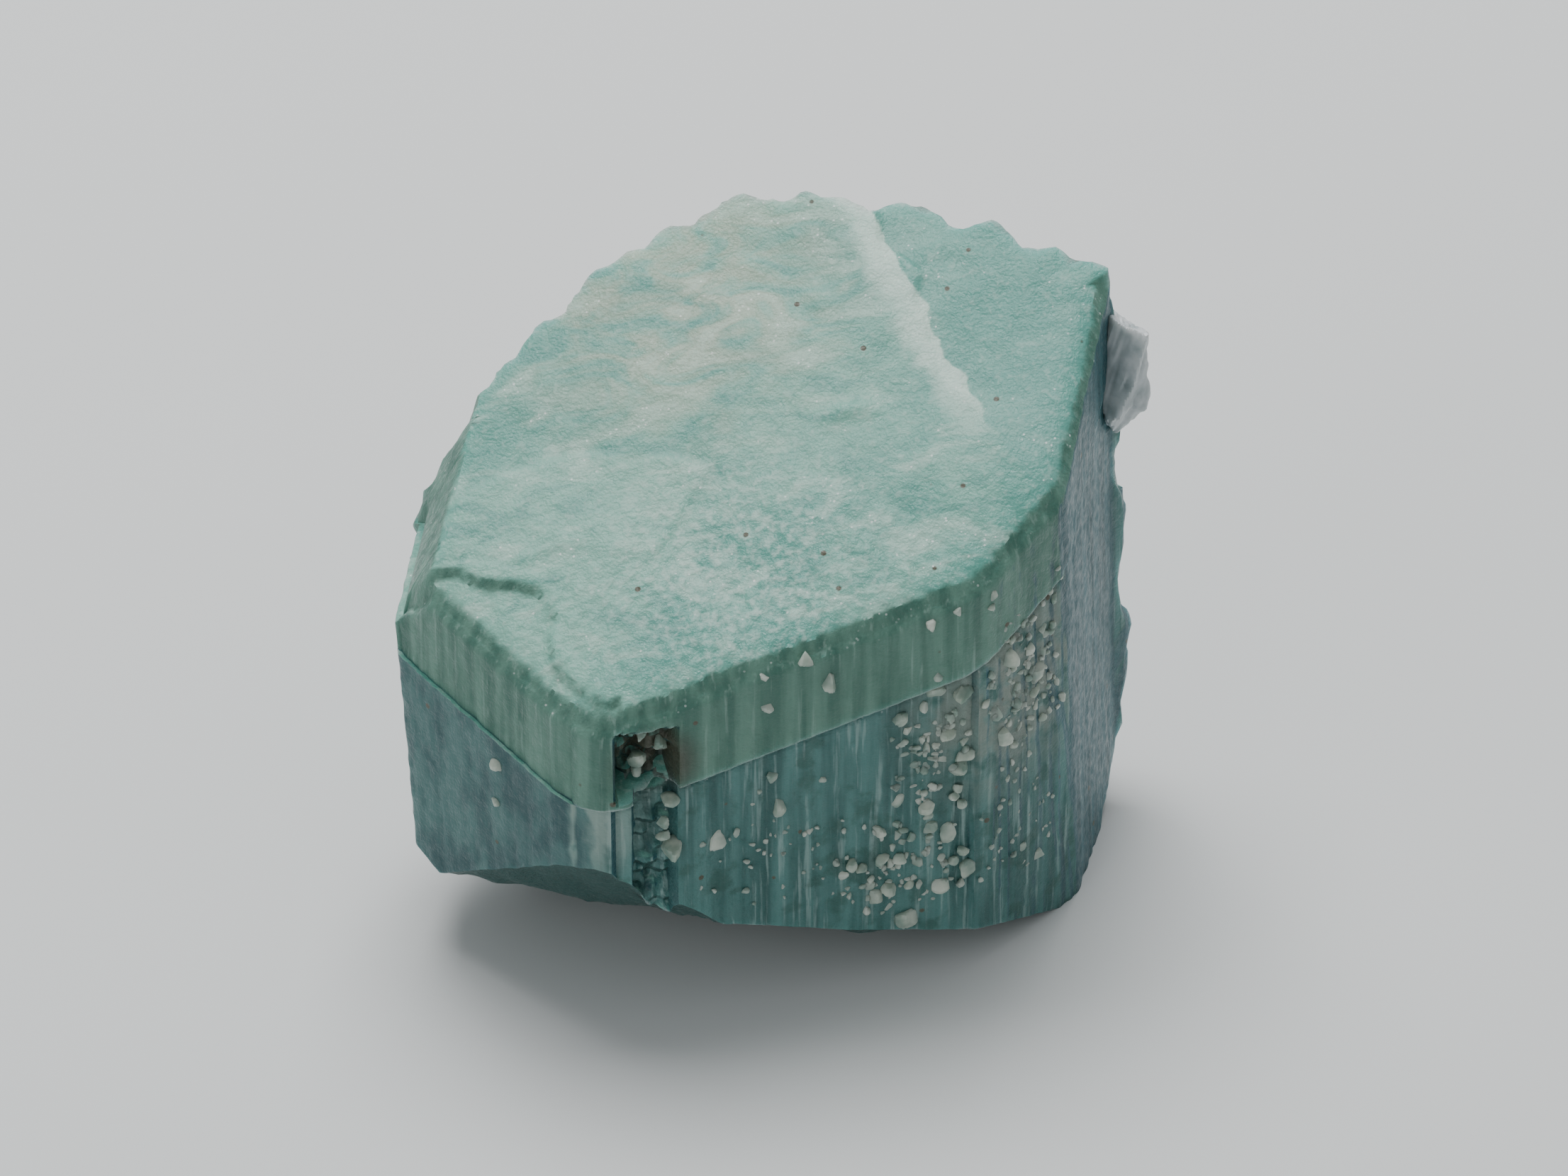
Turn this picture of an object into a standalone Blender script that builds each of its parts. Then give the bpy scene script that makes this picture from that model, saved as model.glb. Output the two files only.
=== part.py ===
"""Rough amazonite: one blocky crystal of blue-green microcline, in metres, +Z up.

Flat prism faces stand in front and at the sides, the cleavage top leans forward, and the rear and the
underside are broken. The axis of the prism is a vertical line. A face is given by the way it looks, as
degrees from the front (-Y) towards the right, by how far it leans up, and by its distance from the
foot of that axis. The origin is the centre of the footprint, on the surface that the crystal rests on.
"""

import math
import random

import bmesh
import bpy
from mathutils import Matrix, Vector

MM = 0.001

# Place of the prism axis, measured from the centre of the footprint
AXIS = Vector((0.620, 0.016, 0.0)) * MM

# Angles of microcline
FRONT = -13.8  # the way that the crystal's front looks
PRISM = 30.6  # from the front to each main prism face
STEEP_PRISM = 60.6  # from the front to the steeper prism face beside it
SIDE = 90.0  # from the front to each side face
TOP_LEAN = 64.05  # rise of the cleavage top's normal above level

# Distances from the foot of the axis
TOP = 18.54 * MM
LEFT_PRISM = 12.97 * MM
RIGHT_PRISM = 8.12 * MM
RIGHT_STEEP = 9.46 * MM
FRONT_FACET = 11.75 * MM
LEFT_SIDE, LEFT_SIDE_LEAN = 12.95 * MM, -3.0
RIGHT_SIDE, RIGHT_SIDE_LEAN = 11.26 * MM, 2.2

# The slab above the parting that runs round the crystal, parallel to the top
PARTING = TOP - 3.75 * MM
SLAB_PROUD_RIGHT = 0.28 * MM
SLAB_SHY_LEFT = 0.2 * MM
SLAB_PROUD_ELSEWHERE = 0.06 * MM
SLAB_OVERLAP = 0.05 * MM
LEFT_BEVEL = (FRONT - 73.0, 31.0, 20.49 * MM)

# Underside: (way it looks, lean, distance) of each broken face round the flat resting spot
UNDERSIDE = (
    (-5.8, -59.0, 1.29 * MM),
    (8.4, -59.0, 2.15 * MM),
    (FRONT, -59.7, 0.96 * MM),
    (-17.1, -36.4, 4.88 * MM),
    (-75.0, -45.0, 7.55 * MM),
    (-130.0, -40.0, 5.36 * MM),
    (FRONT + 180.0, -58.5, 2.61 * MM),
    (FRONT + 180.0, -28.6, 5.99 * MM),
)

# Rear rim of the top, from the right side round to the left, in millimetres from the axis
REAR_RIM = (
    (12.1, 5.3), (10.7, 5.9), (9.9, 6.4), (8.7, 6.6), (7.5, 7.6), (5.9, 7.8), (5.3, 8.5), (3.9, 8.9),
    (2.9, 8.7), (1.7, 9.2), (-0.3, 9.4), (-2.7, 9.4), (-3.1, 8.8), (-5.0, 8.4), (-6.4, 7.5),
    (-7.4, 7.1), (-8.7, 5.8), (-9.5, 5.2), (-10.9, 3.8), (-11.8, 2.7), (-12.6, 0.6),
)
# Cleavage layers that end at the rear as ledges: (thickness, how far the layer stands behind the rim)
LAYERS = (
    (1.3, 0.0), (2.1, 0.45), (1.2, 0.1), (2.9, 0.75), (1.9, 0.3), (3.1, 0.8), (2.2, 0.45), (3.4, 0.9),
    (7.0, 0.5),
)
LAYER_JITTER = 0.3 * MM
LAYER_OVERLAP = 0.3 * MM

# Terraces of the top: outlines in plan, in millimetres from the axis
RIGHT_TERRACE = (
    (3.1, 10.5), (3.3, 7.6), (4.0, 6.8), (4.9, 5.8), (4.5, 5.0), (5.1, 3.6), (5.9, 2.2), (6.5, 1.1),
    (7.2, 0.0), (7.8, -1.4), (14.0, -1.4), (14.0, 10.5),
)
LEFT_TERRACE = (
    (-16.0, -3.6), (-12.2, -4.1), (-10.6, -4.8), (-9.3, -5.1), (-8.7, -6.3), (-8.9, -7.6),
    (-8.2, -8.6), (-7.1, -9.5), (-6.2, -9.7), (-6.2, -13.0), (-16.0, -13.0),
)
MIDDLE_TERRACE = (
    (-12.5, -1.7), (-11.7, -0.9), (-9.4, -0.2), (-7.2, 0.0), (-6.2, -0.6), (-4.7, -0.4),
    (-3.0, -1.0), (-5.1, -3.7), (-7.8, -3.6), (-9.3, -3.9), (-10.6, -4.1), (-12.2, -3.7), (-13.2, -3.3),
)
LEFT_TERRACE_DEPTH = 0.32 * MM
RIGHT_TERRACE_DIP = 0.04  # fall of the right terrace for each unit behind its front end
MIDDLE_TERRACE_HEIGHT = 0.16 * MM

# Hollow in the front corner under the slab, and the groove that runs down from it, by their walls
HOLLOW = (
    (-100.0, 0.0, 4.7 * MM), (75.0, 0.0, -1.5 * MM), (FRONT + 180.0, -8.0, -11.6 * MM),
    (FRONT, TOP_LEAN, TOP - 0.45 * MM), (FRONT, -70.0, -6.7 * MM),
)
GROOVE = (
    (-70.0, 0.0, 8.8 * MM), (60.0, 0.0, 1.4 * MM), (FRONT + 180.0, 0.0, -10.5 * MM),
    (0.0, 90.0, 11.6 * MM), (0.0, -90.0, -3.0 * MM),
)

# Albite grains, as (place along the face, height, radius) in millimetres
SLAB_GRAINS = (
    (-3.4, 14.4, 0.42), (-1.9, 16.2, 0.42), (-1.0, 15.0, 0.4), (2.9, 16.8, 0.38), (3.9, 17.2, 0.3),
    (3.2, 14.4, 0.32),
)
BODY_GRAINS = (
    (-7.0, 8.3, 0.5), (-7.1, 10.6, 0.36), (-5.3, 8.3, 0.46), (-3.0, 9.4, 0.46), (-3.2, 10.9, 0.3),
    (1.8, 12.5, 0.4), (3.1, 13.5, 0.45), (4.4, 13.1, 0.62), (3.7, 11.4, 0.48), (4.2, 9.9, 0.5),
    (2.9, 8.1, 0.52), (1.8, 8.6, 0.4), (3.7, 6.6, 0.42), (1.1, 7.3, 0.4), (0.0, 6.0, 0.36),
    (5.0, 4.6, 0.46), (3.5, 4.2, 0.4), (1.2, 4.3, 0.45), (2.2, 2.9, 0.44),
)
STEEP_GRAINS = ((0.8, 17.1, 0.4), (1.8, 13.8, 0.5), (3.4, 12.0, 0.55), (1.5, 10.4, 0.55), (4.6, 16.2, 0.3))
LEFT_GRAINS = ((-2.7, 10.6, 0.34), (-2.9, 8.8, 0.28))
HOLLOW_GRAINS = (
    (-5.6, -8.8, 13.5, 0.42), (-4.9, -8.9, 12.9, 0.42), (-5.8, -9.0, 12.2, 0.45), (-3.6, -8.8, 12.0, 0.6),
)
GRAIN_SEATED = 0.1  # share of its radius that a grain's centre stands out of the face
# Crowded grains: (along, height, half width, half height, number), in millimetres
BODY_PATCHES = ((3.4, 10.9, 1.2, 1.5, 7), (2.6, 6.6, 1.6, 1.0, 8))
STEEP_PATCHES = ((2.9, 13.2, 1.5, 2.4, 14),)
PATCH_RADII = (0.26, 0.42)
SEED = 7

# Small pale crystal on the right rear side: (centre, radii) of its lumps, in millimetres
SIDE_CRYSTAL = (
    ((12.45, 5.3, 20.5), (1.35, 1.7, 2.6)),
    ((12.35, 5.9, 18.6), (0.8, 1.3, 1.7)),
    ((12.2, 4.9, 22.3), (0.75, 1.1, 1.2)),
)


def looking(azimuth, lean=0.0):
    """Unit vector that looks azimuth degrees right of the front and leans up by lean degrees."""
    turn, rise = math.radians(azimuth), math.radians(lean)
    level = Vector((math.sin(turn), -math.cos(turn), 0.0))
    return level * math.cos(rise) + Vector((0.0, 0.0, math.sin(rise)))


TOP_NORMAL = looking(FRONT, TOP_LEAN)


def height_on_top(x, y, distance):
    """Height above the foot of the axis of the plane parallel to the top, at x and y from the axis."""
    return (distance - TOP_NORMAL.x * x - TOP_NORMAL.y * y) / TOP_NORMAL.z


def collection(name, hidden=False):
    made = bpy.data.collections.new(name)
    made.hide_render = hidden
    bpy.context.scene.collection.children.link(made)
    return made


def mesh_object(name, bm, home, helper=True):
    """An object from a bmesh, with its faces turned outwards."""
    bmesh.ops.recalc_face_normals(bm, faces=bm.faces)
    mesh = bpy.data.meshes.new(name)
    bm.to_mesh(mesh)
    bm.free()
    made = bpy.data.objects.new(name, mesh)
    home.objects.link(made)
    if helper:
        made.hide_render = True
        made.display_type = "WIRE"
    return made


def boolean(target, operation, other):
    """A live Boolean on target with an object or with every object of a collection."""
    modifier = target.modifiers.new(other.name, "BOOLEAN")
    modifier.operation = operation
    modifier.solver = "EXACT"
    if isinstance(other, bpy.types.Collection):
        modifier.operand_type = "COLLECTION"
        modifier.collection = other
    else:
        modifier.object = other


def cut_block(faces, size=60 * MM):
    """A block cut to the crystal faces given as (azimuth, lean, distance)."""
    bm = bmesh.new()
    bmesh.ops.create_cube(bm, size=size)
    for azimuth, lean, distance in faces:
        normal = looking(azimuth, lean)
        cut = bmesh.ops.bisect_plane(
            bm,
            geom=bm.verts[:] + bm.edges[:] + bm.faces[:],
            plane_co=AXIS + normal * distance,
            plane_no=normal,
            clear_outer=True,
        )
        rim = [part for part in cut["geom_cut"] if isinstance(part, bmesh.types.BMEdge)]
        if rim:
            bmesh.ops.contextual_create(bm, geom=rim)
    return bm


def on_face(azimuth, distance, along, height, lean=0.0):
    """Point of a crystal face, by its place along the face and its height."""
    normal = looking(azimuth, lean)
    level = looking(azimuth)
    beside = Vector((-level.y, level.x, 0.0))
    out = (distance - normal.z * height) / normal.dot(level)
    return AXIS + level * out + beside * along + Vector((0.0, 0.0, height))


def layer(outline, low, high, dip=0.0, hinge=0.0):
    """An upright slice between two planes parallel to the top; its floor falls by dip behind hinge."""
    bm = bmesh.new()
    floor = []
    for x, y in outline:
        height = height_on_top(x, y, low - dip * (y - hinge))
        floor.append(bm.verts.new(AXIS + Vector((x, y, height))))
    grown = bmesh.ops.extrude_face_region(bm, geom=[bm.faces.new(floor)])["geom"]
    for part in grown:
        if isinstance(part, bmesh.types.BMVert):
            part.co.z = height_on_top(part.co.x - AXIS.x, part.co.y - AXIS.y, high)
    return bm


def in_plan(outline):
    return [(x * MM, y * MM) for x, y in outline]


def lump(centre, radii, steps, rng):
    """An irregular faceted lump: an icosphere stretched to radii, with every corner moved a little."""
    bm = bmesh.new()
    bmesh.ops.create_icosphere(bm, subdivisions=steps, radius=1.0)
    for vert in bm.verts:
        vert.co *= rng.uniform(0.84, 1.12)
    bmesh.ops.scale(bm, vec=radii, verts=bm.verts)
    turn = Matrix.Rotation(rng.uniform(-0.35, 0.35), 3, "X") @ Matrix.Rotation(rng.uniform(0.0, 0.6), 3, "Z")
    bmesh.ops.rotate(bm, matrix=turn, verts=bm.verts)
    bmesh.ops.translate(bm, vec=centre, verts=bm.verts)
    return bm


def rear_break(home):
    """The stack of cleavage layers whose uneven ends make the broken rear."""
    rng = random.Random(SEED)
    wide = 30 * MM
    stack = collection("rear_layers", hidden=True)
    high = TOP + 1.0 * MM
    low = TOP
    for index, (thick, behind) in enumerate(LAYERS):
        low -= thick * MM
        jitter = LAYER_JITTER if index else 0.0
        rim = []
        for x, y in in_plan(REAR_RIM):
            point = Vector((x, y))
            rim.append(point + point.normalized() * (behind * MM + rng.uniform(-jitter, jitter)))
        outline = [(-wide, -wide), (wide, -wide), (wide, rim[0].y), *rim, (-wide, rim[-1].y)]
        mesh_object(f"rear_layer_{index}", layer(outline, low - LAYER_OVERLAP, high), stack)
        high = low
    whole = stack.objects[0]
    stack.objects.unlink(whole)
    home.objects.link(whole)
    boolean(whole, "UNION", stack)
    return whole


def crystal_faces(slab):
    """The faces of the prism, for the slab above the parting or for the body below it."""
    left_in = SLAB_SHY_LEFT if slab else 0.0
    right_in = 0.0 if slab else SLAB_PROUD_RIGHT
    other_in = 0.0 if slab else SLAB_PROUD_ELSEWHERE
    faces = [
        (FRONT - PRISM, 0.0, LEFT_PRISM - left_in),
        (FRONT, 0.0, FRONT_FACET - other_in),
        (FRONT + PRISM, 0.0, RIGHT_PRISM - right_in),
        (FRONT + STEEP_PRISM, 0.0, RIGHT_STEEP - other_in),
        (FRONT + SIDE, RIGHT_SIDE_LEAN, RIGHT_SIDE - other_in),
        (FRONT - SIDE, LEFT_SIDE_LEAN, LEFT_SIDE - other_in),
    ]
    if slab:
        lower_side = (FRONT + 180.0, -TOP_LEAN, SLAB_OVERLAP - PARTING)
        return faces + [(FRONT, TOP_LEAN, TOP), LEFT_BEVEL, lower_side]
    return faces + [(FRONT, TOP_LEAN, PARTING), *UNDERSIDE, (0.0, -90.0, 0.0)]


def cut_terraces_and_hollows(crystal, home):
    """Takes the lower terraces, the corner hollow and its groove out of the crystal."""
    above = TOP + 2.0 * MM
    cuts = collection("cuts", hidden=True)
    right = layer(in_plan(RIGHT_TERRACE), TOP, above, dip=RIGHT_TERRACE_DIP, hinge=-1.0 * MM)
    mesh_object("right_terrace", right, cuts)
    mesh_object("left_terrace", layer(in_plan(LEFT_TERRACE), TOP - LEFT_TERRACE_DEPTH, above), cuts)
    mesh_object("hollow", cut_block(HOLLOW), cuts)
    mesh_object("groove", cut_block(GROOVE), cuts)
    boolean(crystal, "DIFFERENCE", cuts)
    plate = layer(in_plan(MIDDLE_TERRACE), TOP - 0.5 * MM, TOP + MIDDLE_TERRACE_HEIGHT)
    boolean(crystal, "UNION", mesh_object("middle_terrace", plate, home))


def seat_grains(rng, growths, face, grains):
    azimuth, distance = face
    for along, height, radius in grains:
        size = radius * MM
        centre = on_face(azimuth, distance + GRAIN_SEATED * size, along * MM, height * MM)
        radii = (size * rng.uniform(0.9, 1.2), size, size * rng.uniform(0.85, 1.25))
        mesh_object("grain", lump(centre, radii, 1 if radius < 0.4 else 2, rng), growths)


def crowd(rng, patch):
    """Grains strewn over a patch, more closely at its middle."""
    along, height, half_width, half_height, number = patch
    for _ in range(number):
        place = along + rng.triangular(-half_width, half_width)
        yield place, height + rng.triangular(-half_height, half_height), rng.uniform(*PATCH_RADII)


def grow_grains(crystal):
    """Fuses the albite grains and the small pale crystal to the big one."""
    rng = random.Random(SEED)
    growths = collection("growths", hidden=True)
    right_slab = (FRONT + PRISM, RIGHT_PRISM)
    right_body = (FRONT + PRISM, RIGHT_PRISM - SLAB_PROUD_RIGHT)
    steep = (FRONT + STEEP_PRISM, RIGHT_STEEP)
    left_body = (FRONT - PRISM, LEFT_PRISM)
    seat_grains(rng, growths, right_slab, SLAB_GRAINS)
    seat_grains(rng, growths, right_body, BODY_GRAINS)
    seat_grains(rng, growths, steep, STEEP_GRAINS)
    seat_grains(rng, growths, left_body, LEFT_GRAINS)
    for patch in BODY_PATCHES:
        seat_grains(rng, growths, right_body, crowd(rng, patch))
    for patch in STEEP_PATCHES:
        seat_grains(rng, growths, steep, crowd(rng, patch))
    for x, y, z, radius in HOLLOW_GRAINS:
        centre = AXIS + Vector((x, y, z)) * MM
        mesh_object("hollow_grain", lump(centre, Vector((radius,) * 3) * MM, 2, rng), growths)
    for centre, radii in SIDE_CRYSTAL:
        made = lump(AXIS + Vector(centre) * MM, Vector(radii) * MM, 2, rng)
        mesh_object("side_crystal", made, growths)
    boolean(crystal, "UNION", growths)


def amazonite_material():
    """Pale blue-green feldspar with a glassy, slightly sugary surface."""
    made = bpy.data.materials.new("amazonite")
    made.use_nodes = True
    shader = made.node_tree.nodes["Principled BSDF"]
    shader.inputs["Base Color"].default_value = (0.30, 0.52, 0.50, 1.0)
    shader.inputs["Roughness"].default_value = 0.42
    shader.inputs["Metallic"].default_value = 0.0
    return made


def main():
    for old in list(bpy.data.objects):
        bpy.data.objects.remove(old, do_unlink=True)
    parts = collection("amazonite")
    cutters = collection("cutters", hidden=True)
    crystal = mesh_object("amazonite_crystal", cut_block(crystal_faces(slab=False)), parts, helper=False)
    slab = mesh_object("slab", cut_block(crystal_faces(slab=True)), cutters)
    boolean(crystal, "UNION", slab)
    boolean(crystal, "INTERSECT", rear_break(cutters))
    cut_terraces_and_hollows(crystal, cutters)
    grow_grains(crystal)
    crystal.data.materials.append(amazonite_material())


main()
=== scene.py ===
"""Finished look of a rough amazonite crystal that lies on a plain pale floor."""

import math

import bpy
import numpy as np
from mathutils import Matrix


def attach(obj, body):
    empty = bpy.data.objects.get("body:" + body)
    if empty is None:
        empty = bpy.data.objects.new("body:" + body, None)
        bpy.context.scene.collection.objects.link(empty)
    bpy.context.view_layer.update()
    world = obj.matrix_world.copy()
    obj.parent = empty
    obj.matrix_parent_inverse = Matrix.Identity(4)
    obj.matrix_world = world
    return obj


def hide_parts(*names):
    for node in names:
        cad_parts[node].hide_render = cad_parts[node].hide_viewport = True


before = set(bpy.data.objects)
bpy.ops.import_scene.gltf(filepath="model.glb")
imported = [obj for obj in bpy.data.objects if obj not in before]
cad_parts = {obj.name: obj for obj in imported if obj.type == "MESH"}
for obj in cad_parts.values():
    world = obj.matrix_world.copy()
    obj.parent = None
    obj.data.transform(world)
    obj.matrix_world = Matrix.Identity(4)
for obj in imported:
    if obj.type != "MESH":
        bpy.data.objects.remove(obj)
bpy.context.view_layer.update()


# Crystal
# A stubby prism of amazonite, the blue-green kind of microcline feldspar, grown in an open pocket and
# broken off the rock behind and below. It has a slanting cleavage face on top, etched prism faces in
# front, a parting that runs round it under the top, and cleavage layers that end as ledges at the rear.

MM = 0.001
AXIS = np.array([0.620, 0.016, 0.0])  # foot of the upright axis; millimetres are measured from it


def smooth(value, low, high):
    """Eases from 0 at low to 1 at high: 3 t2 - 2 t3, where t is the share of the way between them."""
    share = np.clip((value - low) / (high - low), 0.0, 1.0)
    return share * share * (3.0 - 2.0 * share)


def window(value, low, high, soft):
    """1 between low and high, easing to 0 over soft on either side: the product of the two eases."""
    return smooth(value, low - soft, low) * (1.0 - smooth(value, high, high + soft))


def ripples(place, size, seed):
    """Irregular waves of about size millimetres: nine sines along random directions, added up."""
    rng = np.random.default_rng(seed)
    ways = rng.normal(size=(9, 3))
    ways /= np.linalg.norm(ways, axis=1, keepdims=True)
    waves = 2.0 * np.pi * ways / (size * rng.uniform(0.6, 1.7, (9, 1)))
    return np.sin(place @ waves.T + rng.uniform(0.0, 2.0 * np.pi, 9)).sum(axis=-1) / 3.0


def closed_mesh(name, rings, firsts, lasts, crease):
    """Closed bodies from rings of points (body, ring, column, xyz) and the points that end each body.

    Each point joins its neighbours in the ring and in the next ring by a square; triangles join the
    outer rings to the end points. Rings run upwards and columns anticlockwise seen from above, so that
    every face looks outwards. Edges that turn by more than crease degrees stay sharp.
    """
    bodies, count, columns = rings.shape[:3]
    points = np.concatenate([rings.reshape(bodies, -1, 3), firsts[:, None], lasts[:, None]], axis=1)
    here = np.arange(columns)
    beyond = np.roll(here, -1)
    rows = np.arange(count - 1)[:, None] * columns
    quads = np.stack([rows + here, rows + beyond, rows + columns + beyond, rows + columns + here], -1)
    end = count * columns
    low = np.stack([np.full(columns, end), beyond, here], -1)
    high = np.stack([np.full(columns, end + 1), end - columns + here, end - columns + beyond], -1)
    step = np.arange(bodies)[:, None, None] * points.shape[1]
    faces = (quads.reshape(1, -1, 4) + step).reshape(-1, 4).tolist()
    faces += (np.concatenate([low, high])[None] + step).reshape(-1, 3).tolist()
    mesh = bpy.data.meshes.new(name)
    mesh.from_pydata(((points.reshape(-1, 3) + AXIS) * MM).tolist(), [], faces)
    mesh.shade_smooth()
    mesh.set_sharp_from_angle(angle=math.radians(crease))
    made = bpy.data.objects.new(name, mesh)
    bpy.context.scene.collection.objects.link(made)
    return made


FRONT = -13.8  # way the front corner looks: 0 is towards -Y, positive to the right
LEFT_SIDE, LEFT_PRISM, FRONT_FACET, RIGHT_PRISM, STEEP_PRISM, RIGHT_SIDE, REAR = range(7)
TOP, TOP_LEAN = 18.54, 64.05  # distance of the top face, and how steeply it looks up
PARTING_DEPTH = 3.75  # thickness of the slab above the parting
# Corners of the rear in plan, anticlockwise from the right side
REAR_RIM = (
    (10.7, 5.9), (9.9, 6.4), (8.7, 6.6), (7.5, 7.6), (5.9, 7.8), (5.3, 8.5), (3.9, 8.9), (2.9, 8.7),
    (1.7, 9.2), (-0.3, 9.4), (-2.7, 9.4), (-3.1, 8.8), (-5.0, 8.4), (-6.4, 7.5), (-7.4, 7.1),
    (-8.7, 5.8), (-9.5, 5.2), (-10.9, 3.8), (-11.8, 2.7), (-12.3, 1.9),
)
# Cleavage layers from the top down: how thick each is, and how far it stands out at the rear
LAYERS = (
    (1.3, 0.0), (2.1, 0.45), (1.2, 0.1), (2.9, 0.75), (1.9, 0.3), (3.1, 0.8), (2.2, 0.45), (3.4, 0.9),
    (7.0, 0.5),
)
# Outlines in plan on the top
RIGHT_TERRACE = (
    (3.1, 10.5), (3.2, 8.7), (3.3, 7.4), (3.8, 6.9), (4.4, 6.4), (4.9, 5.8), (4.6, 5.1), (4.6, 4.6),
    (5.0, 4.0), (5.1, 3.2), (5.8, 2.3), (6.3, 1.9), (6.4, 1.1), (7.0, 0.8), (7.2, 0.0), (7.7, -0.8),
    (7.8, -1.5), (14.0, -1.5), (14.0, 10.5),
)
LEFT_TERRACE = (
    (-16.0, -3.6), (-12.4, -4.1), (-12.0, -4.4), (-11.4, -4.7), (-10.4, -4.8), (-9.8, -5.0),
    (-9.3, -5.2), (-9.1, -5.7), (-8.7, -6.3), (-9.0, -6.7), (-8.9, -7.4), (-8.8, -7.9), (-8.4, -8.4),
    (-7.9, -8.9), (-7.3, -9.4), (-6.7, -9.6), (-6.3, -9.5), (-6.2, -13.0), (-16.0, -13.0),
)
MIDDLE_TERRACE = (
    (-12.6, -1.6), (-11.7, -0.9), (-10.5, -0.5), (-9.4, -0.2), (-8.0, 0.0), (-7.3, -0.1), (-6.6, -0.2),
    (-6.2, -0.6), (-4.7, -0.4), (-3.0, -1.0), (-5.1, -4.3), (-6.6, -4.1), (-7.8, -3.7), (-8.5, -3.7),
    (-9.3, -3.9), (-9.9, -4.2), (-10.6, -4.1), (-11.3, -3.8), (-13.3, -3.6),
)
FLAKE = (
    (-13.6, -3.8), (-12.4, -4.1), (-11.4, -4.7), (-10.4, -4.8), (-9.3, -5.2), (-9.3, -4.6),
    (-9.8, -4.4), (-10.9, -4.0), (-11.9, -3.8),
)
LEFT_TERRACE_DROP, MIDDLE_TERRACE_RISE, FLAKE_RISE = 0.24, 0.09, 0.1
RIGHT_TERRACE_DROP, RIGHT_TERRACE_DIP = 0.04, 0.022  # near its front end, and for each millimetre behind
STEP_HEIGHT = 0.07  # low growth steps all over the top
SCALE_PLACE, SCALE_HEIGHT = (2.2, 0.6), 0.25  # a thin scale that stands near the middle of the top
EDGE_DROP, EDGE_INSET, EDGE_WIDTH, CHIP_DEPTH = 0.3, 0.3, 0.38, 0.12  # worn edge round the top
CORNER_ROUNDING, CORNER_WIDTHS = 0.22, (0.5, 0.9, 0.7, 0.7, 0.5)  # upright corners, from the left
LEFT_SLAB_SET_BACK, RIGHT_BODY_RECESS, OTHER_RECESS = 0.13, 0.28, 0.06  # behind the plain prism faces
LINE_DEPTH, FAINT_LINE_DEPTH, BAND_DEPTH, FACE_ROUGHNESS = 0.06, 0.02, 0.09, 0.03  # etching
CRACK_WIDTH, RIGHT_CRACK_DEPTH, LEFT_CRACK_LIP = 0.22, 0.22, 0.02  # the parting
NIB_HEIGHT, NIB_REACH = 14.0, 0.35  # a point that juts out at the left end of the parting
HOLLOW_X, HOLLOW_Z, HOLLOW_DEPTH = (-6.35, -4.35), (11.35, 13.95), 1.65  # under the slab
GROOVE_X, GROOVE_Z, GROOVE_DEPTH = (-5.6, -4.4), (5.5, 11.3), 0.85  # below the hollow
LEDGE_JITTER, LEDGE_SOFT = 0.3, 0.3  # unevenness and softness of the rear ledges
MIDDLE_HEIGHT = 10.0  # where the lengths of the walls are measured
COLUMN_WIDTH, REAR_COLUMN_WIDTH = 0.112, 0.21
TURN_COLUMNS, TURN_SOFTNESS = 9, 5.0  # columns over which the outward way turns at a corner
UNDER_ROWS, BODY_ROWS, SLAB_ROWS, TOP_ROWS = 21, 58, 24, 72


def plane(azimuth, lean, distance):
    """A plane as its outward normal and its distance from the axis foot.

    The normal's level part is the cosine of the lean, along the azimuth; its upright part is the sine.
    """
    level, tilt = math.radians(azimuth), math.radians(lean)
    ahead = math.cos(tilt)
    return np.array([ahead * math.sin(level), -ahead * math.cos(level), math.sin(tilt), distance])


def corner(a, b):
    """Where two walls meet: its place at height 0, and how far it drifts for each millimetre up.

    Both are the point in plan that solves the equations of the two planes together.
    """
    both = np.stack([a[:2], b[:2]])
    return np.linalg.solve(both, [a[3], b[3]]), np.linalg.solve(both, [-a[2], -b[2]])


def inside(x, y, outline, soft):
    """1 inside an outline in plan and 0 outside, easing over soft across its line.

    The distance to the nearest side is eased, and an odd number of sides crossed makes it positive.
    """
    within = np.zeros(x.shape, bool)
    nearest = np.full(x.shape, 1e9)
    for (ax, ay), (bx, by) in zip(outline, (*outline[1:], outline[0])):
        run_x, run_y = bx - ax, by - ay
        along = np.clip(((x - ax) * run_x + (y - ay) * run_y) / (run_x ** 2 + run_y ** 2), 0.0, 1.0)
        nearest = np.minimum(nearest, np.hypot(x - ax - along * run_x, y - ay - along * run_y))
        if run_y:
            within ^= ((ay > y) != (by > y)) & (x < ax + (y - ay) * run_x / run_y)
    return smooth(np.where(within, nearest, -nearest), -soft / 2, soft / 2)


left_azimuth, right_azimuth, steep_azimuth = FRONT - 30.6, FRONT + 30.6, FRONT + 60.6
top_plane = plane(FRONT, TOP_LEAN, TOP)
bevel = plane(FRONT - 73.0, 31.0, 20.49)
under_planes = [
    plane(-5.8, -59.0, 1.29), plane(8.4, -59.0, 2.15), plane(FRONT, -59.7, 0.96),
    plane(-17.1, -36.4, 4.88), plane(-75.0, -45.0, 7.55), plane(-130.0, -40.0, 5.36),
    plane(FRONT + 180.0, -58.5, 2.61), plane(FRONT + 180.0, -28.6, 5.99),
]
around = [
    plane(180.0, 0.0, 0.6), plane(FRONT - 90.0, -3.0, 12.95), plane(left_azimuth, 0.0, 12.97),
    plane(FRONT, 0.0, 11.75), plane(right_azimuth, 0.0, 8.12), plane(steep_azimuth, 0.0, 9.46),
    plane(FRONT + 90.0, 2.2, 11.26), plane(180.0, 0.0, 5.3),
]
feet, drifts = zip(*[corner(a, b) for a, b in zip(around, around[1:])])
feet = np.concatenate([feet, REAR_RIM])
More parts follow.
